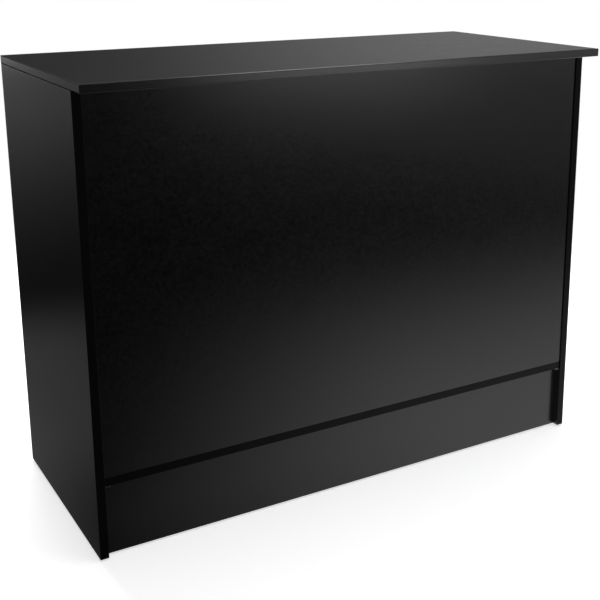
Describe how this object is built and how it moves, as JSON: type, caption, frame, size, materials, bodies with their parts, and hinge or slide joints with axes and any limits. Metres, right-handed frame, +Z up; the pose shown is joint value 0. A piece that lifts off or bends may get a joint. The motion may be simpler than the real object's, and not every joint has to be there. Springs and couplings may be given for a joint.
{
  "type": "service counter",
  "caption": "Free-standing shop counter: flat worktop that overhangs a plain front panel, end panels to the floor, recessed kick plates, and an open back with a deck and an adjustable shelf.",
  "frame": {"origin": "on the floor, under the middle of the worktop", "axes": "+X along the front, to the right for someone facing it; the front faces -Y and the open back +Y; +Z up"},
  "size_m": [1.219, 0.559, 0.965],
  "materials": {
    "laminate": "black melamine-faced board, satin, faint pebble texture",
    "edge_band": "black plastic edge band, satin",
    "cam_zinc": "bare zinc die casting, dull",
    "plated_steel": "bright zinc or nickel plate",
    "foot": "black moulded nylon"
  },
  "bodies": {
    "carcass": {"worktop": "laminate", "left_end_panel": "laminate", "right_end_panel": "laminate", "front_panel": "laminate", "bottom_deck": "laminate", "front_kick_plate": "laminate", "rear_kick_plate": "laminate", "rear_top_rail": "laminate", "worktop_front_edge_band": "edge_band", "worktop_back_edge_band": "edge_band", "worktop_left_edge_band": "edge_band", "worktop_right_edge_band": "edge_band", "left_end_front_edge_band": "edge_band", "left_end_back_edge_band": "edge_band", "right_end_front_edge_band": "edge_band", "right_end_back_edge_band": "edge_band", "deck_front_edge_band": "edge_band", "deck_back_edge_band": "edge_band", "left_front_upper_cam": "cam_zinc", "left_front_lower_cam": "cam_zinc", "left_top_front_cam": "cam_zinc", "left_top_rear_cam": "cam_zinc", "left_front_kick_cam": "cam_zinc", "left_rear_kick_cam": "cam_zinc", "left_rear_rail_cam": "cam_zinc", "right_front_upper_cam": "cam_zinc", "right_front_lower_cam": "cam_zinc", "right_top_front_cam": "cam_zinc", "right_top_rear_cam": "cam_zinc", "right_front_kick_cam": "cam_zinc", "right_rear_kick_cam": "cam_zinc", "right_rear_rail_cam": "cam_zinc", "left_front_upper_cam_bolt": "plated_steel", "left_front_lower_cam_bolt": "plated_steel", "left_top_front_cam_bolt": "plated_steel", "left_top_rear_cam_bolt": "plated_steel", "left_front_kick_cam_bolt": "plated_steel", "left_rear_kick_cam_bolt": "plated_steel", "left_rear_rail_cam_bolt": "plated_steel", "right_front_upper_cam_bolt": "plated_steel", "right_front_lower_cam_bolt": "plated_steel", "right_top_front_cam_bolt": "plated_steel", "right_top_rear_cam_bolt": "plated_steel", "right_front_kick_cam_bolt": "plated_steel", "right_rear_kick_cam_bolt": "plated_steel", "right_rear_rail_cam_bolt": "plated_steel", "left_front_shelf_pin": "plated_steel", "left_rear_shelf_pin": "plated_steel", "right_front_shelf_pin": "plated_steel", "right_rear_shelf_pin": "plated_steel", "left_front_deck_pin": "plated_steel", "left_rear_deck_pin": "plated_steel", "right_front_deck_pin": "plated_steel", "right_rear_deck_pin": "plated_steel"},
    "shelf": {"adjustable_shelf": "laminate", "shelf_edge_band": "edge_band"},
    "left_front_foot": {"left_front_levelling_foot": "foot"},
    "left_rear_foot": {"left_rear_levelling_foot": "foot"},
    "right_front_foot": {"right_front_levelling_foot": "foot"},
    "right_rear_foot": {"right_rear_levelling_foot": "foot"}
  },
  "joints": [
    {"name": "shelf_slide", "type": "slide", "parent": "carcass", "child": "shelf", "axis": [0, 1, 0], "range_m": [0, 0.113]},
    {"name": "left_front_foot_screw", "type": "slide", "parent": "carcass", "child": "left_front_foot", "axis": [0, 0, -1], "range_m": [0, 0.012]},
    {"name": "left_rear_foot_screw", "type": "slide", "parent": "carcass", "child": "left_rear_foot", "axis": [0, 0, -1], "range_m": [0, 0.012]},
    {"name": "right_front_foot_screw", "type": "slide", "parent": "carcass", "child": "right_front_foot", "axis": [0, 0, -1], "range_m": [0, 0.012]},
    {"name": "right_rear_foot_screw", "type": "slide", "parent": "carcass", "child": "right_rear_foot", "axis": [0, 0, -1], "range_m": [0, 0.012]}
  ]
}
